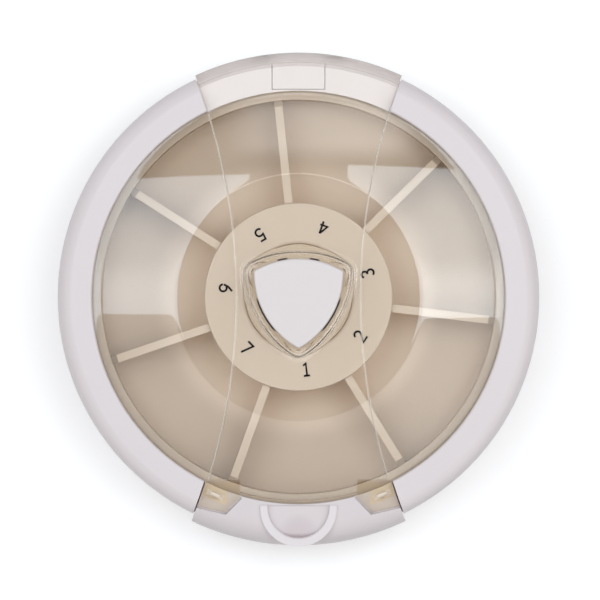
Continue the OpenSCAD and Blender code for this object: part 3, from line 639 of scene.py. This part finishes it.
def turned(points, steps=192):
    """Solid of revolution from a closed profile of (radius, height)."""
    bm = bmesh.new()
    ring = [bm.verts.new(Vector((r, 0, z)) * MM) for r, z in points]
    edges = [bm.edges.new((a, b)) for a, b in zip(ring, ring[1:] + ring[:1])]
    bmesh.ops.spin(bm, geom=ring + edges, cent=(0, 0, 0), axis=(0, 0, 1), angle=2 * math.pi, steps=steps,
                   use_merge=True, use_duplicate=False)
    return closed(bm)


def dial():
    """Number disc with a wide round edge at its hole and a locating ring below."""
    bottom = DISC_TOP - 1.2
    return turned(
        [(DISC_HOLE, bottom), (17.8, bottom), (17.8, bottom - 1.39), (18.85, bottom - 1.39), (18.85, bottom),
         (DISC_R, bottom)]
        + arc((DISC_R - 0.2, DISC_TOP - 0.2), 0.2, 0, 90, 4)
        + arc((DISC_HOLE + 0.9, DISC_TOP - 0.9), 0.9, 90, 180, 8)
    )


def plunger():
    """The button's tube and flange; the flange nearly fills the disc's hole."""
    bm = moulded_copy("button_plunger")
    for v in bm.verts:
        if v.co.xy.length / MM > DISC_HOLE - 0.5:
            v.co.xy = v.co.xy.normalized() * (DISC_HOLE - 0.06) * MM
    return softened(bm, 0.12, 2)


def latch():
    """Thumb latch, its U rib and recess with rounder edges than the rest."""
    bm = moulded_copy("front_latch")
    thumb = [e for e in bm.edges if len(e.link_faces) == 2 and e.calc_face_angle(0) > 0.6
             and all(v.co.z / MM > 20 and math.hypot(v.co.x / MM, v.co.y / MM - THUMB_Y) < THUMB_R + 0.1
                     for v in e.verts)]
    bmesh.ops.bevel(bm, geom=thumb, offset=0.45 * MM, offset_type="OFFSET", segments=5, profile=0.5,
                    affect="EDGES", clamp_overlap=True, material=-1)
    return softened(bm, 0.12, 2)


piece("window_left", cover_window(-1), CLEAR, "casing", ("left_window",), 20)
piece("window_right", cover_window(1), CLEAR, "casing", ("right_window",), 20)
piece("lid", clear_lid(), CLEAR, "lid", ("clear_lid",), 20)
piece("push_button", button_cap(), BUTTON, "button", ("button_cap",))

for node, name, material, made in (
    ("rim_ring", "rim", WHITE, None), ("base_shell", "base", WHITE, None),
    ("hinge_block", "hinge_mount", WHITE, None), ("front_latch", "latch", THUMB, latch),
    ("pill_tray", "tray", BEIGE, None), ("number_disc", "dial", BEIGE, dial),
    ("button_plunger", "plunger", PLUNGER, plunger),
):
    node_body = frame["nodes"][node]["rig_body"]
    surface = made() if made else softened(moulded_copy(node), 0.15, 3)
    piece(name, surface, material, node_body, (node,))

for node, material in (
    ("base_feet", RUBBER), ("casing_screws", STEEL), ("hinge_pin", STEEL), ("latch_pin", STEEL),
    ("centre_post", STEEL), ("post_screw", STEEL), ("retaining_clip", STEEL), ("thrust_washer", SLIP),
    ("detent_spring", STEEL), ("return_spring", STEEL), ("drive_rotor", BEIGE),
    ("ratchet_ring", BEIGE), ("printed_numerals", INK),
):
    solid = frame["nodes"][node]
    solid.data.materials.clear()
    solid.data.materials.append(material)


def studio():
    """Pale floor, soft light from above and two softboxes beside the camera."""
    paper = Finish("floor_paper")
    mottle = paper.noise(0.02, 3)
    paper.surface(Base_Color=paper.blend(mottle, (0.78, 0.78, 0.78), (0.8, 0.8, 0.8)), Roughness=0.9)
    path = paper.node("ShaderNodeLightPath")
    seen = Value(paper, path.outputs["Is Camera Ray"]).larger(Value(paper, path.outputs["Is Glossy Ray"]))
    seen = seen.larger(Value(paper, path.outputs["Is Transmission Ray"]))
    glow = paper.node("ShaderNodeEmission", None, {"Color": (1, 1, 1, 1), "Strength": seen * 0.3})
    both = paper.node("ShaderNodeAddShader", None, {0: paper.shader.outputs[0], 1: glow.outputs[0]})
    paper.tree.links.new(both.outputs[0], paper.tree.nodes["Material Output"].inputs["Surface"])
    bm = bmesh.new()
    bmesh.ops.create_circle(bm, cap_ends=True, segments=96, radius=6)
    mesh = bpy.data.meshes.new("floor")
    bm.to_mesh(mesh)
    bm.free()
    mesh.materials.append(paper.owner)
    floor = bpy.data.objects.new("floor", mesh)
    bpy.context.scene.collection.objects.link(floor)

    world = bpy.data.worlds.new("studio")
    bpy.context.scene.world = world
    sky = Finish("studio", world)
    path = sky.node("ShaderNodeLightPath")
    seen = Value(sky, path.outputs["Is Camera Ray"]).larger(Value(sky, path.outputs["Is Transmission Ray"]))
    across = sky.node("ShaderNodeSeparateXYZ", None, {0: sky.node("ShaderNodeTexCoord").outputs["Generated"]})
    side, back, up = (Value(sky, across.outputs[axis]) for axis in (0, 1, 2))
    lighting = up.larger(0) ** 5 * 1.55 + (side * side).ramp(0.1, 0.45) * up.ramp(0.3, 0.7) * 1.05 + 0.1
    outward = side * side + back * back
    # What the covers mirror: on the front of their slope, over the saddle, on the slope's back, and the walls
    slope = outward.ramp(0.17 ** 2, 0.22 ** 2) * back.fall(0.02, 0.1) * (side.ramp(0.05, 0.3) * 0.8 + 1.1)
    behind = back.ramp(0.12, 0.132) * back.fall(0.172, 0.185) * (side * side).fall(0.01, 0.02) * 2.3
    band = back.ramp(0.3, 0.36) * back.fall(0.42, 0.47) * side.ramp(-0.2, -0.05) * side.fall(0.2, 0.3) * 2.2
    room = slope.larger(behind).larger(band).larger(up.fall(0.6, 0.8) * 0.85) + 0.1
    glossy = Value(sky, path.outputs["Is Glossy Ray"])
    strength = glossy * room + (seen + lighting * (1 - seen)) * (1 - glossy)
    background = sky.tree.nodes["Background"]
    background.inputs[0].default_value = (1, 0.995, 0.99, 1)
    sky.plug(background.inputs[1], strength)

    for name, x, y, width, length, radiance, tint in (
        ("left_softbox", -0.205, 0.086, 0.25, 0.228, 3.0, (0.74, 0.87, 1.0)),
        ("right_softbox", 0.205, 0.091, 0.25, 0.25, 3.3, (0.82, 0.92, 1.0)),
    ):
        lamp = bpy.data.lights.new(name, "AREA")
        lamp.shape = "RECTANGLE"
        lamp.size, lamp.size_y = width, length
        lamp.energy = radiance * math.pi * width * length
        lamp.color = tint
        holder = bpy.data.objects.new(name, lamp)
        holder.location = (x, y, 0.6)
        bpy.context.scene.collection.objects.link(holder)


def photographers_camera():
    """Straight from above through a long lens; 600 pixels span 136.5 mm at the rim's top."""
    span, distance, below_centre = 0.13653, 1.2, 0.0007
    lens = bpy.data.cameras.new("camera")
    lens.sensor_fit = "HORIZONTAL"
    lens.angle = 2 * math.atan(span / 2 / distance)
    lens.clip_start = 0.01
    camera = bpy.data.objects.new("camera", lens)
    camera.location = (0.00034, -below_centre, distance + RIM_TOP * MM)
    bpy.context.scene.collection.objects.link(camera)
    bpy.context.scene.camera = camera


studio()
photographers_camera()
bpy.context.scene.view_settings.view_transform = "Standard"
